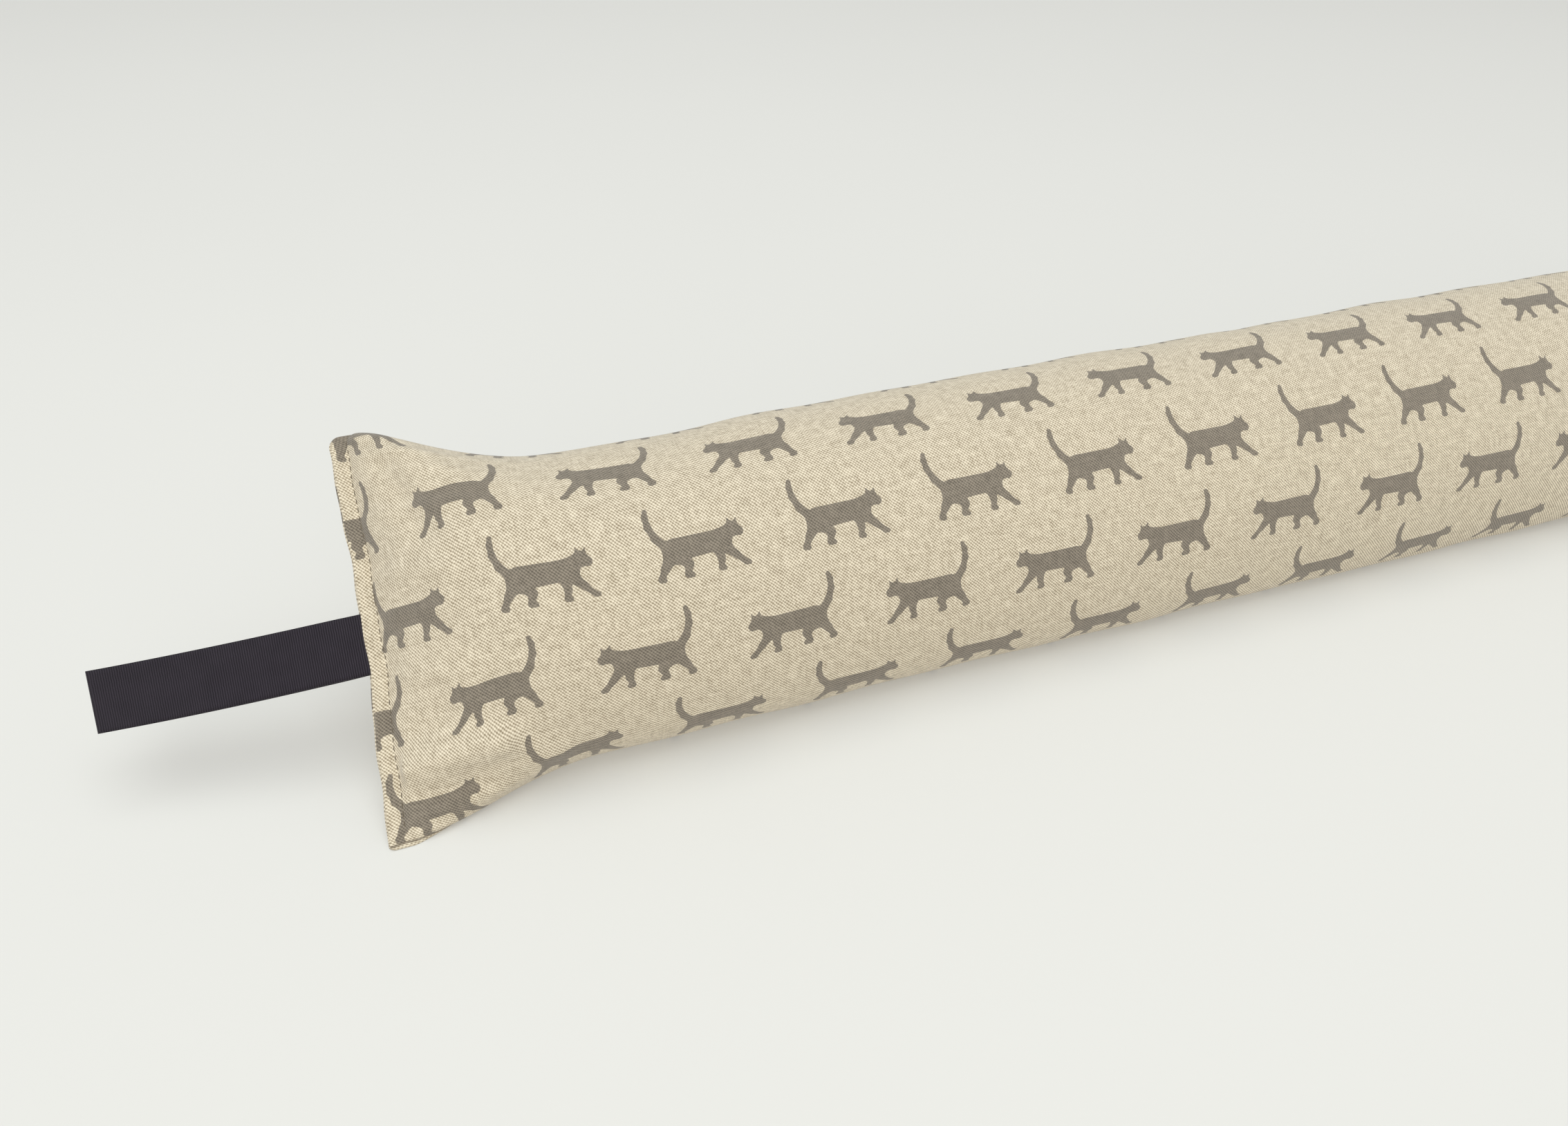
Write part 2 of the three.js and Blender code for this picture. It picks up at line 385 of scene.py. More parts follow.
# The sewn ends: rounded corners, a lower ear that reaches further out, and a back layer that shows past the
# front.
UPPER_CORNER_RADIUS = 5.0
LOWER_CORNER_RADIUS = 2.0
LOWER_EAR = 1.7
LOWER_EAR_PLACE = -0.72
LOWER_EAR_SPREAD = 0.45
BACK_LAYER_PROUD = 0.9
EdgeWave = namedtuple("EdgeWave", "period phase depth")
EDGE_WAVES = (
    EdgeWave(47.0, 0.6, 0.35),
    EdgeWave(23.0, 2.4, 0.2),
)


def shaped_ends(grid):
    """Moves the sewn ends in and out along X."""
    angles = np.linspace(0, 2 * math.pi, ROUND_STEPS, endpoint=False)
    across = np.cos(angles)
    from_corner = FLAT_WIDTH / 2 * (1 - np.abs(across))
    radius = np.where(across > 0, UPPER_CORNER_RADIUS, LOWER_CORNER_RADIUS)
    into_corner = np.clip(radius - from_corner, 0, radius)
    inset = radius - np.sqrt(radius**2 - into_corner**2)
    ear = LOWER_EAR * np.exp(-(((across - LOWER_EAR_PLACE) / LOWER_EAR_SPREAD) ** 2))
    wavy = 0
    for wave in EDGE_WAVES:
        wavy = wavy + wave.depth * np.sin(math.pi * FLAT_WIDTH * across / wave.period + wave.phase)
    proud = BACK_LAYER_PROUD * (np.sin(angles) < 0)
    shaped = grid.copy()
    for row, x in enumerate(row_places()):
        from_end = LENGTH / 2 - abs(x)
        flat = 1 - fullness(from_end)
        edge = max(0.0, 1 - from_end / SEAM_BAND)
        outward = (ear + wavy - inset) * flat**2 + proud * edge
        shaped[row, :, 0] += math.copysign(1.0, x) * outward
    return shaped


# The cover as stuffed cloth: a coarse copy, with its flat cut as rest lengths, settles under pressure while
# the seams are held and the stuffing keeps the rest about where it is.
SETTLE_EVERY_ROW = 2
SETTLE_EVERY_STEP = 4
SETTLE_FRAMES = 20
SETTLE_PRESSURE = 4.0
SETTLE_HOLD = 0.12
SETTLE_CAP = 4.0
SETTLE_SMOOTHING = 4
SETTLE_QUALITY = 6
SETTLE_STRETCH_STIFFNESS = 25
SETTLE_SHEAR_STIFFNESS = 8
SETTLE_BEND_STIFFNESS = 0.6
RESTING_BELOW = 0.5
FLAT_LAYER_GAP = 2.0
NEARLY_NOTHING = 1e-9


def settle_object(coarse, flat, hold):
    """A mesh of the coarse cover with its flat cut as a shape key."""
    row_count, count = coarse.shape[:2]
    faces = []
    for row in range(row_count - 1):
        for j in range(count):
            after = (j + 1) % count
            here = row * count
            faces.append((here + j, here + after, here + count + after, here + count + j))
    piece = make_mesh("settling_cover", coarse.reshape(-1, 3), faces)
    piece.shape_key_add(name="Basis")
    key = piece.shape_key_add(name="flat_cut")
    key.data.foreach_set("co", (flat * MM).ravel())
    group = piece.vertex_groups.new(name="held")
    for index, weight in enumerate(hold.ravel()):
        group.add([index], float(weight), "REPLACE")
    modifier = piece.modifiers.new("settling", "CLOTH")
    settings = modifier.settings
    settings.quality = SETTLE_QUALITY
    settings.tension_stiffness = SETTLE_STRETCH_STIFFNESS
    settings.compression_stiffness = SETTLE_STRETCH_STIFFNESS
    settings.shear_stiffness = SETTLE_SHEAR_STIFFNESS
    settings.bending_stiffness = SETTLE_BEND_STIFFNESS
    settings.use_pressure = True
    settings.uniform_pressure_force = SETTLE_PRESSURE
    settings.vertex_group_mass = "held"
    settings.rest_shape_key = key
    settings.effector_weights.gravity = 0
    return piece


def smoothed(field):
    """Evens out a grid of moves that is closed round the tube."""
    for _ in range(SETTLE_SMOOTHING):
        field = (np.roll(field, 1, axis=1) + 2 * field + np.roll(field, -1, axis=1)) / 4
        padded = np.concatenate([field[:1], field, field[-1:]])
        field = (padded[:-2] + 2 * padded[1:-1] + padded[2:]) / 4
    return field


def settled_places(piece):
    """Runs the simulation, gives where the points end up in metres, and removes the piece."""
    scene = bpy.context.scene
    for number in range(1, SETTLE_FRAMES + 1):
        scene.frame_set(number)
    settled = piece.evaluated_get(bpy.context.evaluated_depsgraph_get())
    places = np.empty(len(settled.data.vertices) * 3, dtype=np.float32)
    settled.data.vertices.foreach_get("co", places)
    mesh = piece.data
    bpy.data.objects.remove(piece)
    bpy.data.meshes.remove(mesh)
    scene.frame_set(1)
    return places


def spread_out(moves, rows, columns, row_count):
    """Carries moves from the coarse grid to the fine one."""
    wide = np.concatenate([moves, moves[:, :1]], axis=1)
    wide_columns = np.append(columns, ROUND_STEPS)
    all_rows = np.arange(row_count)
    all_columns = np.arange(ROUND_STEPS)
    fine = np.empty((row_count, ROUND_STEPS, 3))
    for axis in range(3):
        along = np.array([np.interp(all_rows, rows, line) for line in wide[:, :, axis].T]).T
        fine[:, :, axis] = [np.interp(all_columns, wide_columns, line) for line in along]
    return fine


def settled_moves(smooth, u, v, from_end):
    """How far the cloth moves from the smooth cover, on the fine grid."""
    rows = np.unique(np.append(np.arange(0, len(smooth), SETTLE_EVERY_ROW), len(smooth) - 1))
    columns = np.arange(0, ROUND_STEPS, SETTLE_EVERY_STEP)
    kept = np.ix_(rows, columns)
    coarse = smooth[kept]
    flat_v = v[kept]
    flat_u = u[rows].mean(axis=1, keepdims=True) * np.ones_like(flat_v)
    flat = np.stack([flat_u, np.abs(flat_v), np.sign(flat_v) * FLAT_LAYER_GAP], axis=2)
    sewn = from_end[kept] <= SEAM_BAND
    resting = coarse[:, :, 2] < RESTING_BELOW
    hold = np.where(sewn | resting, 1.0, SETTLE_HOLD)
    places = settled_places(settle_object(coarse, flat, hold))
    moves = places.reshape(coarse.shape) / MM - coarse
    size = np.linalg.norm(moves, axis=2, keepdims=True)
    moves = moves * np.minimum(1, SETTLE_CAP / np.maximum(size, NEARLY_NOTHING))
    return smoothed(spread_out(moves, rows, columns, len(smooth)))


def dressed_grid():
    """The cover's points with its relief, and their places on the cloth."""
    smooth = shaped_ends(cover_grid())
    u, front, back = cloth_places(smooth)
    v = np.hstack([front, back[:, 1:-1]])
    from_end = (LENGTH / 2 - np.abs(np.array(row_places())))[:, None] * np.ones_like(v)
    grid = smooth + grid_normals(smooth) * relief(u, v, from_end)[:, :, None]
    grid = grid + settled_moves(smooth, u, v, from_end)
    grid[:, :, 2] = np.maximum(grid[:, :, 2], 0.0)
    return grid, u, front, back


def near_an_end(u):
    """1 at the sewn ends, and 0 along the tube."""
    to_end = np.minimum(np.clip(u, 0, None), np.clip(LENGTH - u, 0, None))
    return 1 / (1 + np.exp((to_end - PRINT_DRAWN_REACH) / PRINT_DRAWN_EASE))


def skewed(u, v):
    """How far the print lies inwards from a seam that wasn't cut quite square to it."""
    inwards = np.where(u < LENGTH / 2, 1, -1)
    return inwards * PRINT_SKEW * (np.abs(v) - PRINT_SKEW_PIVOT) * near_an_end(u)


def drawn_down(u, v):
    """How far the print lies below its place on flat cloth."""
    across = 0.5 + 0.5 * np.sin(math.pi * np.abs(v) / FLAT_WIDTH)
    near_end = near_an_end(u)
    rolled = PRINT_ROLLED_FORWARD * np.exp(-((v / PRINT_ROLL_SPREAD) ** 2))
    lifted = PRINT_LIFTED * np.exp(-(((v - PRINT_LIFT_PLACE) / PRINT_LIFT_SPREAD) ** 2))
    return PRINT_DRAWN_DOWN * near_end * across + (rolled - lifted) * (1 - near_end)


def make_mesh(name, points, faces):
    mesh = bpy.data.meshes.new(name)
    mesh.from_pydata([tuple(float(n) * MM for n in point) for point in points], [], faces)
    mesh.update()
    piece = bpy.data.objects.new(name, mesh)
    bpy.context.scene.collection.objects.link(piece)
    for polygon in mesh.polygons:
        polygon.use_smooth = True
    return piece


# The sewn edge, as two turned-in lips with a slit between them: inwards from the edge, and share of the
# thickness.
LipStep = namedtuple("LipStep", "inwards share")
LIP_STEPS = (
    LipStep(-0.35, 0.72),
    LipStep(-0.2, 0.35),
    LipStep(0.9, 0.06),
)


def lip_rings(ring, outward):
    """Rings that close one end with two rounded lips. Points with the same place across face each other."""
    count = len(ring)
    facing = (count - np.arange(count)) % count
    middle = (ring + ring[facing]) / 2
    rings = []
    for step in LIP_STEPS:
        rings.append(middle + (ring - middle) * step.share - outward * step.inwards)
    return rings


def with_lips(rows):
    """A grid's rows with the first and last repeated for the lips."""
    lips = len(LIP_STEPS)
    return [rows[0]] * lips + list(rows) + [rows[-1]] * lips


def make_cushion():
    grid, u, front, back = dressed_grid()
    count = ROUND_STEPS
    half = count // 2
    towards_near = np.array([-1.0, 0.0, 0.0])
    near = lip_rings(grid[0], towards_near)
    far = lip_rings(grid[-1], -towards_near)
    rings = list(reversed(near)) + list(grid) + far
    u_back = np.hstack([u[:, half:], u[:, :1]])
    print_front = front - drawn_down(u[:, : half + 1], front)
    print_back = back - drawn_down(u_back, back)
    print_u = u - skewed(u, np.hstack([front, back[:, 1:-1]]))
    u_rows = with_lips(print_u)
    front_rows = with_lips(print_front)
    back_rows = with_lips(print_back)
    points = np.concatenate(rings)
    faces = []
    places = []
    for row in range(len(rings) - 1):
        for j in range(count):
            after = (j + 1) % count
            here = row * count
            faces.append((here + j, here + after, here + count + after, here + count + j))
            for r, k, corner in ((row, j, 0), (row, after, 1), (row + 1, after, 1), (row + 1, j, 0)):
                if j < half:
                    v = front_rows[r][j + corner]
                else:
                    v = back_rows[r][j - half + corner]
                places.append((u_rows[r][k] * MM, v * MM))
    close_slit(faces, places, 0, count, u_rows[0], front_rows[0], False)
    close_slit(faces, places, (len(rings) - 1) * count, count, u_rows[-1], front_rows[-1], True)
    cushion = make_mesh("cushion", points, faces)
    layer = cushion.data.uv_layers.new(name="cloth")
    layer.data.foreach_set("uv", np.array(places, dtype=np.float32).ravel())
    return cushion, grid, front, back


def close_slit(faces, places, first, count, u_row, v_row, turned):
    """Joins the two sides of an end's slit with a narrow strip."""
    half = count // 2
    for j in range(half):
        ring = [j, j + 1, (count - j - 1) % count, (count - j) % count]
        across = [j, j + 1, j + 1, j]
        corners = []
        for corner in zip(ring, across):
            if corner not in corners:
                corners.append(corner)
        if not turned:
            corners.reverse()
        faces.append(tuple(first + k for k, _ in corners))
        for k, a in corners:
            places.append((u_row[k] * MM, v_row[a] * MM))


# The ribbon.
RIBBON_LENGTH_STEPS = 150
RIBBON_WIDTH_STEPS = 14
RIBBON_FOLD_STEPS = 14
RIBBON_PARTING = 12.0


def ribbon_path():
    """The middle of the ribbon's thickness along its length: how far out, its offset, and where its face
    looks."""
    straight = RIBBON_REACH - RIBBON_LAYER_OFFSET - RIBBON_THICKNESS / 2
    path = []
    for i in range(RIBBON_LENGTH_STEPS):
        out = lerp(-RIBBON_ROOT_DEPTH, straight, i / RIBBON_LENGTH_STEPS)
        path.append((out, layer_offset(out), 1.0, 0.0))
    for i in range(RIBBON_FOLD_STEPS + 1):
        turn = math.pi * i / RIBBON_FOLD_STEPS
        out = straight + RIBBON_LAYER_OFFSET * math.sin(turn)
        path.append((out, RIBBON_LAYER_OFFSET * math.cos(turn), math.cos(turn), math.sin(turn)))
    for i in range(RIBBON_LENGTH_STEPS):
        out = lerp(straight, -RIBBON_ROOT_DEPTH, (i + 1) / RIBBON_LENGTH_STEPS)
        path.append((out, -layer_offset(out), -1.0, 0.0))
    return path


def layer_offset(out):
    """The two layers part a little after leaving the seam."""
    share = min(max(out / RIBBON_PARTING, 0.0), 1.0)
    return lerp(RIBBON_ROOT_OFFSET, RIBBON_LAYER_OFFSET, share * share * (3 - 2 * share))


def bend_ribbon(out, offset, across):
    """Twists and droops the straight loop, more towards its fold, and puts it on the end seam."""
    reach = max(out, 0.0)
    turn = RIBBON_TWIST * reach / RIBBON_REACH
    drop = RIBBON_DROOP_SLOPE * reach + RIBBON_DROOP_CURL * (reach / RIBBON_REACH) ** 2
    front = offset - drop
    towards = front * math.cos(turn) + across * math.sin(turn)
    upward = across * math.cos(turn) - front * math.sin(turn)
    along, facing = leaning_axes(SEAM_LEAN)
    lower_edge = -(RIBBON_DOWN_SEAM + RIBBON_WIDTH / 2) / (FLAT_WIDTH / 2)
    root = np.array([-LENGTH / 2 + drawn_in(lower_edge), SEAM_SHIFT_Y, AXIS_HEIGHT + SEAM_SHIFT_Z])
    root = root - along * RIBBON_DOWN_SEAM
    return root + np.array([-out, 0.0, 0.0]) + facing * towards + along * upward


def make_ribbon():
    path = ribbon_path()
    travelled = [0.0]
    for before, after in zip(path, path[1:]):
        travelled.append(travelled[-1] + math.hypot(after[0] - before[0], after[1] - before[1]))
    columns = RIBBON_WIDTH_STEPS + 1
    points = []
    for side in (0.5, -0.5):
        for out, offset, face_offset, face_out in path:
            for column in range(columns):
                across = lerp(-RIBBON_WIDTH / 2, RIBBON_WIDTH / 2, column / RIBBON_WIDTH_STEPS)
                thin = side * RIBBON_THICKNESS
                points.append(bend_ribbon(out + face_out * thin, offset + face_offset * thin, across))
    rows = len(path)
    layer_size = rows * columns
    faces = []
    places = []

    def add(corners):
        faces.append(tuple(corner for corner, _, _ in corners))
        for _, row, column in corners:
            places.append((travelled[row] * MM, column / RIBBON_WIDTH_STEPS * RIBBON_WIDTH * MM))

    for row in range(rows - 1):
        for column in range(RIBBON_WIDTH_STEPS):
            corners = [
                (row * columns + column, row, column),
                (row * columns + column + 1, row, column + 1),
                ((row + 1) * columns + column + 1, row + 1, column + 1),
                ((row + 1) * columns + column, row + 1, column),
            ]
            add(corners)
            add([(corner + layer_size, r, c) for corner, r, c in reversed(corners)])
        for column, turned in ((0, False), (RIBBON_WIDTH_STEPS, True)):
            here = row * columns + column
            there = here + columns
            corners = [
                (here, row, column),
                (there, row + 1, column),
                (there + layer_size, row + 1, column),
                (here + layer_size, row, column),
            ]
            add(list(reversed(corners)) if turned else corners)
    for row, turned in ((0, True), (rows - 1, False)):
        for column in range(RIBBON_WIDTH_STEPS):
            here = row * columns + column
            corners = [
                (here, row, column),
                (here + 1, row, column + 1),
                (here + 1 + layer_size, row, column + 1),
                (here + layer_size, row, column),
            ]
            add(list(reversed(corners)) if turned else corners)
    ribbon = make_mesh("ribbon_loop", points, faces)
    layer = ribbon.data.uv_layers.new(name="ribbon")
    layer.data.foreach_set("uv", np.array(places, dtype=np.float32).ravel())
    return ribbon, travelled[-1]


# Topstitching across both ends.
STITCH_PITCH = 3.6
STITCH_LENGTH = 2.7
STITCH_RADIUS = 0.2
STITCH_SIDES = 6
STITCH_RINGS = 7
STITCH_MARGIN = 5.0
STITCH_ARCH = 0.3
STITCH_SUNK = 0.12
STITCH_TAPER = 0.4
STITCH_TIP_RADIUS = 0.02


def ring_point(ring, normals, v_row, v):
    """The place and outward direction on a ring at a place v across the cloth."""
    place = np.array([np.interp(v, v_row, ring[:, axis]) for axis in range(3)])
    normal = np.array([np.interp(v, v_row, normals[:, axis]) for axis in range(3)])
    return place, normal / np.linalg.norm(normal)


def add_stitch(points, faces, centres, normals):
    """One thread lying along the given places."""
    first = len(points)
    for i, (centre, normal) in enumerate(zip(centres, normals)):
        share = i / (STITCH_RINGS - 1)
        radius = STITCH_RADIUS * max(math.sin(math.pi * share), 0.0) ** STITCH_TAPER + STITCH_TIP_RADIUS
        ahead = centres[min(i + 1, STITCH_RINGS - 1)] - centres[max(i - 1, 0)]
        sideways = np.cross(ahead / np.linalg.norm(ahead), normal)
        for k in range(STITCH_SIDES):
            turn = 2 * math.pi * k / STITCH_SIDES
            points.append(centre + radius * (math.cos(turn) * sideways + math.sin(turn) * normal))
    for i in range(STITCH_RINGS - 1):
        for k in range(STITCH_SIDES):
            after = (k + 1) % STITCH_SIDES
            here = first + i * STITCH_SIDES
            faces.append((here + k, here + after, here + STITCH_SIDES + after, here + STITCH_SIDES + k))
    faces.append(tuple(first + k for k in reversed(range(STITCH_SIDES))))
    last = first + (STITCH_RINGS - 1) * STITCH_SIDES
    faces.append(tuple(last + k for k in range(STITCH_SIDES)))


def make_stitching(name, grid, front, back, row):
    """The topstitching of one end, on both its faces."""
    normals = grid_normals(grid)[row]
    ring = grid[row]
    half = ROUND_STEPS // 2
    closed_ring = np.concatenate([ring, ring[:1]])
    closed_normals = np.concatenate([normals, normals[:1]])
    faces_of_end = (
        (closed_ring[: half + 1], closed_normals[: half + 1], front[row]),
        (closed_ring[half:], closed_normals[half:], back[row]),
    )
    points = []
    faces = []
    for side_ring, side_normals, v_row in faces_of_end:
        start = v_row.min() + STITCH_MARGIN
        while start + STITCH_LENGTH < v_row.max() - STITCH_MARGIN:
            centres = []
            directions = []
            for i in range(STITCH_RINGS):
                share = i / (STITCH_RINGS - 1)
                place, normal = ring_point(side_ring, side_normals, v_row, start + share * STITCH_LENGTH)
                centres.append(place + normal * (STITCH_ARCH * math.sin(math.pi * share) - STITCH_SUNK))
                directions.append(normal)
            add_stitch(points, faces, centres, directions)
            start += STITCH_PITCH
    return make_mesh(name, points, faces)


class Nodes:
    """Short ways to add and join shader nodes."""

    def __init__(self, tree):
        self.tree = tree

    def new(self, kind, **values):
        node = self.tree.nodes.new(kind)
        for key, value in values.items():
            setattr(node, key, value)
        return node

    def put(self, socket, value):
        if isinstance(value, bpy.types.NodeSocket):
            self.tree.links.new(value, socket)
        else:
            socket.default_value = value

    def math(self, operation, *values, clamp=False):
        node = self.new("ShaderNodeMath", operation=operation, use_clamp=clamp)
        for socket, value in zip(node.inputs, values):
            self.put(socket, value)
        return node.outputs[0]

    def vector(self, operation, *values, scale=None):
        node = self.new("ShaderNodeVectorMath", operation=operation)
        for socket, value in zip(node.inputs, values):
            self.put(socket, value)
        if scale is not None:
            self.put(node.inputs["Scale"], scale)
        if operation in ("DOT_PRODUCT", "LENGTH"):
            return node.outputs["Value"]
        return node.outputs["Vector"]

    def combine(self, x, y, z=0.0):
        node = self.new("ShaderNodeCombineXYZ")
        for socket, value in zip(node.inputs, (x, y, z)):
            self.put(socket, value)
        return node.outputs[0]

    def separate(self, vector):
        node = self.new("ShaderNodeSeparateXYZ")
        self.put(node.inputs[0], vector)
        return node.outputs[0], node.outputs[1]

    def noise(self, vector, scale, detail=2.0, roughness=0.5):
        node = self.new("ShaderNodeTexNoise")
        self.put(node.inputs["Vector"], vector)
        self.put(node.inputs["Scale"], scale)
        self.put(node.inputs["Detail"], detail)
        self.put(node.inputs["Roughness"], roughness)
        return node.outputs["Fac"]

    def around_zero(self, noise, reach):
        """A noise spread evenly to both sides of 0."""
        return self.math("MULTIPLY_ADD", noise, reach, -reach / 2)

    def remap(self, value, low, high, new_low, new_high):
        node = self.new("ShaderNodeMapRange")
        for socket, number in zip(node.inputs, (value, low, high, new_low, new_high)):
            self.put(socket, number)
        return node.outputs[0]

    def mix(self, share, first, second):
        node = self.new("ShaderNodeMix", data_type="RGBA")
        self.put(node.inputs["Factor"], share)
        self.put(node.inputs[6], first)
        self.put(node.inputs[7], second)
        return node.outputs[2]

    def places(self, layer):
        """A piece's own flat coordinates, in millimetres."""
        node = self.new("ShaderNodeUVMap", uv_map=layer)
        return self.vector("MULTIPLY", node.outputs[0], (1 / MM, 1 / MM, 0.0))

    def bump(self, height, strength, distance):
        node = self.new("ShaderNodeBump")
        self.put(node.inputs["Height"], height)
        self.put(node.inputs["Strength"], strength)
        self.put(node.inputs["Distance"], distance)
        return node.outputs[0]


def new_material(name):
    material = bpy.data.materials.new(name)
    material.use_nodes = True
    shader = material.node_tree.nodes["Principled BSDF"]
    return material, Nodes(material.node_tree), shader


def cat_cell(nodes, place):
    """The place inside one cat's cell, seen by a cat that faces +a."""
    u, v = nodes.separate(place)
    down = nodes.math("DIVIDE", nodes.math("ADD", v, CELL_TOP - FIRST_FEET), ROW_PITCH)
    row = nodes.math("FLOOR", down)
    odd = nodes.math("FLOORED_MODULO", row, 2.0)
    height = nodes.math("MULTIPLY_ADD", nodes.math("FRACT", down), -ROW_PITCH, CELL_TOP)
    start = nodes.math("MULTIPLY_ADD", odd, ODD_ROW_START - EVEN_ROW_START, EVEN_ROW_START)
    turns = nodes.math("DIVIDE", nodes.math("SUBTRACT", u, start), CAT_PITCH)
    inside = nodes.math("FRACT", nodes.math("ADD", turns, 0.5))
    along = nodes.math("MULTIPLY", nodes.math("SUBTRACT", inside, 0.5), CAT_PITCH)
    facing = nodes.math("MULTIPLY_ADD", odd, -2.0, 1.0)
    return nodes.combine(nodes.math("MULTIPLY", along, facing), height)


def stroke_distance(nodes, place, stroke):
    """Distance from one tapered stroke, less than 0 inside it."""
    run = (stroke.a1 - stroke.a0, stroke.b1 - stroke.b0)
    square = run[0] ** 2 + run[1] ** 2
    offset = nodes.vector("SUBTRACT", place, (stroke.a0, stroke.b0, 0.0))
    share = nodes.vector("DOT_PRODUCT", offset, (run[0] / square, run[1] / square, 0.0))
    share = nodes.math("ADD", share, 0.0, clamp=True)
    nearest = nodes.vector("SCALE", (run[0], run[1], 0.0), scale=share)
    gap = nodes.vector("LENGTH", nodes.vector("SUBTRACT", offset, nearest))
    radius = nodes.math("MULTIPLY_ADD", share, stroke.r1 - stroke.r0, stroke.r0)
    return nodes.math("SUBTRACT", gap, radius)


def seam_side(nodes, place):
    """How far the place lies above the long seam on the front, in millimetres."""
    u, v = nodes.separate(place)
    to_end = nodes.math("MINIMUM", u, nodes.math("SUBTRACT", LENGTH, u))
    share = nodes.math("DIVIDE", to_end, SEAM_TURN_REACH)
    fall = nodes.math("MULTIPLY", nodes.math("MULTIPLY", share, share), -1.0)
    near_end = nodes.math("EXPONENT", fall)
    turn = nodes.math("MULTIPLY", near_end, SEAM_TURN)
    drawn = nodes.math("MULTIPLY_ADD", near_end, SEAM_DRAWN_SHARE * PRINT_DRAWN_DOWN, turn)
    return nodes.math("SUBTRACT", nodes.math("SUBTRACT", FLAT_WIDTH, drawn), v)


def cat_print(nodes, place):
    """1 inside a printed cat, 0 outside."""
    cell = cat_cell(nodes, place)
    distance = None
    for stroke in CAT:
        here = stroke_distance(nodes, cell, stroke)
        if distance is None:
            distance = here
        else:
            distance = nodes.math("SMOOTH_MIN", distance, here, STROKE_JOIN)
    bleed = nodes.around_zero(nodes.noise(place, BLEED_SCALE), BLEED_REACH)
    distance = nodes.math("ADD", distance, bleed)
    return nodes.remap(distance, PRINT_EDGE, -PRINT_EDGE, 0.0, 1.0)


# The weave: threads of this pitch, with their crossings lining up in slanting rows.
THREAD_PITCH = 0.74
SLANT_SHARE = 0.68
THREAD_WOBBLE_SCALE = 0.35
THREAD_WOBBLE = 0.9
SLUB_LONG = 0.12
SLUB_NARROW = 1.2
SLUB_TONE = 0.55
SLUB_HEIGHT = 0.5
BLOTCH_SCALE = 0.3
BLOTCH_TONE = 0.5
LINEN_SHEEN = 0.22
LINEN_BUMP = 0.55
LINEN_BUMP_DISTANCE = 0.00022

# The shade in the long seam, painted as a dark line: from its middle to its edge, in millimetres.
SEAM_LINE_FULL = 0.25
SEAM_LINE_END = 0.7
SEAM_LINE_SHARE = 0.75
SEAM_PRINT_END = 0.3
SEAM_DRAWN_SHARE = 0.5


def weave(nodes, place):
    """Height of the threads, from about 0 to 1."""
    shift = nodes.around_zero(nodes.noise(place, THREAD_WOBBLE_SCALE, detail=1.0), THREAD_WOBBLE)
    u, v = nodes.separate(place)
    u = nodes.math("ADD", u, shift)
    turn = math.pi / THREAD_PITCH
    slant = nodes.math("COSINE", nodes.math("MULTIPLY", nodes.math("SUBTRACT", u, v), turn))
    counter = nodes.math("COSINE", nodes.math("MULTIPLY", nodes.math("ADD", u, v), turn))
    height = nodes.math("MULTIPLY_ADD", slant, 0.5 * SLANT_SHARE, 0.5)
    return nodes.math("MULTIPLY_ADD", counter, -0.5 * (1 - SLANT_SHARE), height)


def slubs(nodes, place):
    """Thicker and paler yarns, along and across the cloth."""
    along = nodes.noise(nodes.vector("MULTIPLY", place, (SLUB_LONG, SLUB_NARROW, 0.0)), 1.0)
    across = nodes.noise(nodes.vector("MULTIPLY", place, (SLUB_NARROW, SLUB_LONG, 0.0)), 1.0)
    return nodes.math("SUBTRACT", nodes.math("ADD", along, across), 1.0)


def linen_material():
    material, nodes, shader = new_material("printed_linen")
    place = nodes.places("cloth")
    threads = weave(nodes, place)
    yarn = slubs(nodes, place)
    tone = nodes.math("MULTIPLY_ADD", yarn, SLUB_TONE, threads)
    blotch = nodes.around_zero(nodes.noise(place, BLOTCH_SCALE, detail=4.0), BLOTCH_TONE)
    tone = nodes.math("ADD", tone, blotch, clamp=True)
    cloth = nodes.mix(tone, CLOTH_DARK, CLOTH_LIGHT)
    ink = nodes.mix(tone, PRINT_DARK, PRINT_LIGHT)
    above_seam = seam_side(nodes, place)
    on_front = nodes.remap(above_seam, 0.0, SEAM_PRINT_END, 0.0, 1.0)
    printed = nodes.math("MULTIPLY", cat_print(nodes, place), on_front)
    colour = nodes.mix(printed, cloth, ink)
    from_seam = nodes.math("ABSOLUTE", above_seam)
    # Painted shade along the long seam: a dark line, darkest at its middle.
    painted_seam_shade = nodes.remap(from_seam, SEAM_LINE_FULL, SEAM_LINE_END, SEAM_LINE_SHARE, 0.0)
    colour = nodes.mix(painted_seam_shade, colour, SEAM_SHADE)
    nodes.put(shader.inputs["Base Color"], colour)
    roughness = nodes.remap(threads, 0.0, 1.0, 0.95, 0.8)
    nodes.put(shader.inputs["Roughness"], roughness)
    shader.inputs["Specular IOR Level"].default_value = 0.2
    shader.inputs["Sheen Weight"].default_value = LINEN_SHEEN
    shader.inputs["Sheen Roughness"].default_value = 0.6
    height = nodes.math("MULTIPLY_ADD", yarn, SLUB_HEIGHT, threads)
    nodes.put(shader.inputs["Normal"], nodes.bump(height, LINEN_BUMP, LINEN_BUMP_DISTANCE))
    return material


# The ribbon's ribs and fine threads.
RIB_PITCH = 0.9
RIB_WOBBLE_SCALE = 0.5
RIB_WOBBLE = 0.35
FINE_THREAD_PITCH = 0.4
FINE_THREAD_TONE = 0.12
DUST_SCALE = 0.12
DUST_TONE = 0.5
RIB_BUMP = 0.7
RIB_BUMP_DISTANCE = 0.0003


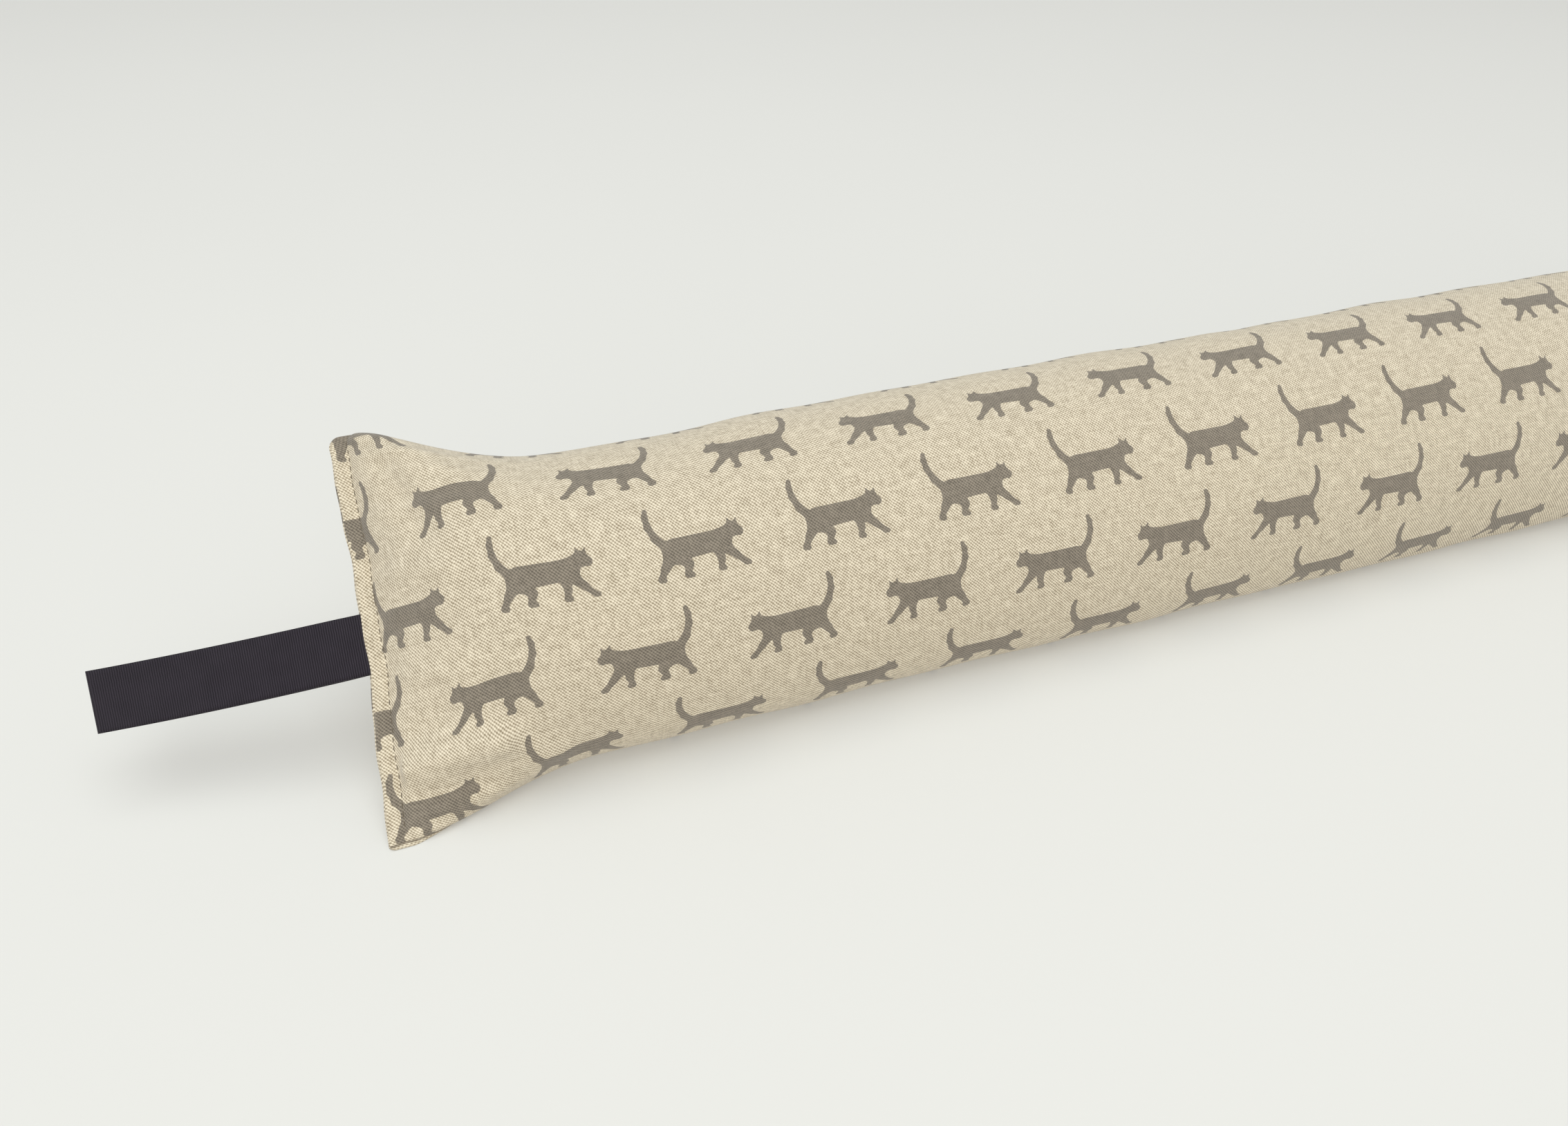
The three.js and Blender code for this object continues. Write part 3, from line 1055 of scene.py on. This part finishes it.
def ribbon_material():
    material, nodes, shader = new_material("grosgrain")
    place = nodes.places("ribbon")
    wobble = nodes.noise(place, RIB_WOBBLE_SCALE, detail=1.0)
    u, v = nodes.separate(place)
    u = nodes.math("MULTIPLY_ADD", wobble, RIB_WOBBLE, u)
    rib = nodes.math("ABSOLUTE", nodes.math("SINE", nodes.math("MULTIPLY", u, math.pi / RIB_PITCH)))
    fine = nodes.math("SINE", nodes.math("MULTIPLY", v, 2 * math.pi / FINE_THREAD_PITCH))
    tone = nodes.math("MULTIPLY_ADD", fine, FINE_THREAD_TONE, rib)
    dust = nodes.around_zero(nodes.noise(place, DUST_SCALE, detail=3.0), DUST_TONE)
    tone = nodes.math("ADD", tone, dust, clamp=True)
    # The ribs' grooves are darker as painted shade; the fine threads and the dust are the ribbon's own tone.
    nodes.put(shader.inputs["Base Color"], nodes.mix(tone, RIBBON_DARK, RIBBON_LIGHT))
    nodes.put(shader.inputs["Roughness"], nodes.remap(rib, 0.0, 1.0, 0.85, 0.6))
    shader.inputs["Specular IOR Level"].default_value = 0.2
    shader.inputs["Sheen Weight"].default_value = 0.05
    nodes.put(shader.inputs["Normal"], nodes.bump(tone, RIB_BUMP, RIB_BUMP_DISTANCE))
    return material


THREAD_TWIST_SCALE = 2500.0
THREAD_DARKER = 0.6
FLOOR_PATCH_SCALE = 2.0
FLOOR_DARKER = 0.97


def darkened(colour, share):
    return tuple(share * n for n in colour[:3]) + (1,)


def thread_material():
    material, nodes, shader = new_material("sewing_thread")
    coordinates = nodes.new("ShaderNodeTexCoord")
    twist = nodes.noise(coordinates.outputs["Object"], THREAD_TWIST_SCALE)
    darker = darkened(THREAD_COLOUR, THREAD_DARKER)
    nodes.put(shader.inputs["Base Color"], nodes.mix(twist, darker, THREAD_COLOUR))
    shader.inputs["Roughness"].default_value = 0.7
    return material


def floor_material():
    material, nodes, shader = new_material("pale_floor")
    coordinates = nodes.new("ShaderNodeTexCoord")
    patches = nodes.noise(coordinates.outputs["Object"], FLOOR_PATCH_SCALE)
    darker = darkened(FLOOR_COLOUR, FLOOR_DARKER)
    nodes.put(shader.inputs["Base Color"], nodes.mix(patches, darker, FLOOR_COLOUR))
    shader.inputs["Roughness"].default_value = 0.6
    shader.inputs["Specular IOR Level"].default_value = 0.1
    shader.inputs["Emission Color"].default_value = FLOOR_GLOW
    shader.inputs["Emission Strength"].default_value = 1.0
    return material


FLOOR_HALF = 7000.0
FLOOR_DROP = -0.2


def make_floor():
    corners = [(-1, -1), (1, -1), (1, 1), (-1, 1)]
    points = [(x * FLOOR_HALF, y * FLOOR_HALF, FLOOR_DROP) for x, y in corners]
    floor = make_mesh("floor", points, [(0, 1, 2, 3)])
    floor.data.materials.append(floor_material())


# The lights, with places and sizes in metres and power in watts.
AreaLight = namedtuple("AreaLight", "name place target size power colour")
OVERHEAD_COLOUR = (0.93, 0.985, 1.0)
FRONT_COLOUR = (1.0, 0.965, 0.91)
LIGHTS = (
    AreaLight("overhead_softbox", (-0.5, -0.1, 3.0), (-0.2, 0.0, 0.0), 3.0, 57.0, OVERHEAD_COLOUR),
    AreaLight("front_softbox", (-0.9, -2.4, 1.5), (0.0, 0.0, 0.03), 2.6, 29.0, FRONT_COLOUR),
)
WORLD_COLOUR = (0.985, 0.995, 1.0, 1)
WORLD_STRENGTH = 0.57


def make_lights():
    for light in LIGHTS:
        lamp = bpy.data.lights.new(light.name, "AREA")
        lamp.size = light.size
        lamp.energy = light.power
        lamp.color = light.colour
        holder = bpy.data.objects.new(light.name, lamp)
        holder.location = light.place
        direction = np.array(light.target) - np.array(light.place)
        aim_at(holder, direction)
        bpy.context.scene.collection.objects.link(holder)
    world = bpy.data.worlds.new("studio")
    world.use_nodes = True
    background = world.node_tree.nodes["Background"]
    background.inputs["Color"].default_value = WORLD_COLOUR
    background.inputs["Strength"].default_value = WORLD_STRENGTH
    bpy.context.scene.world = world


def aim_at(holder, direction):
    """Turns a lamp so that its beam runs along a direction."""
    x, y, z = direction / np.linalg.norm(direction)
    holder.rotation_euler = (math.acos(-z), 0.0, math.atan2(-x, y))


def make_camera():
    camera = bpy.data.cameras.new("photo_camera")
    camera.sensor_fit = "HORIZONTAL"
    camera.sensor_width = SENSOR_WIDTH
    camera.lens = FOCAL_PIXELS / PHOTO_WIDTH * SENSOR_WIDTH
    camera.clip_start = 0.01
    holder = bpy.data.objects.new("photo_camera", camera)
    holder.location = CAMERA_PLACE
    holder.rotation_euler = (math.pi / 2 - CAMERA_PITCH, 0.0, -CAMERA_YAW)
    bpy.context.scene.collection.objects.link(holder)
    bpy.context.scene.camera = holder


make_camera()
bpy.context.scene.view_settings.view_transform = "Standard"

cushion, grid, front, back = make_cushion()
cushion.data.materials.append(linen_material())
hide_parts("cover")
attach(cushion, "root")

ribbon, ribbon_length = make_ribbon()
ribbon.data.materials.append(ribbon_material())
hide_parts("hanging_loop")
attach(ribbon, "root")

thread = thread_material()
stitch_row = half_rows().index(SEAM_BAND)
for name, row in (("end_stitching_near", stitch_row), ("end_stitching_far", len(grid) - 1 - stitch_row)):
    stitching = make_stitching(name, grid, front, back, row)
    stitching.data.materials.append(thread)
    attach(stitching, "root")

make_floor()
make_lights()
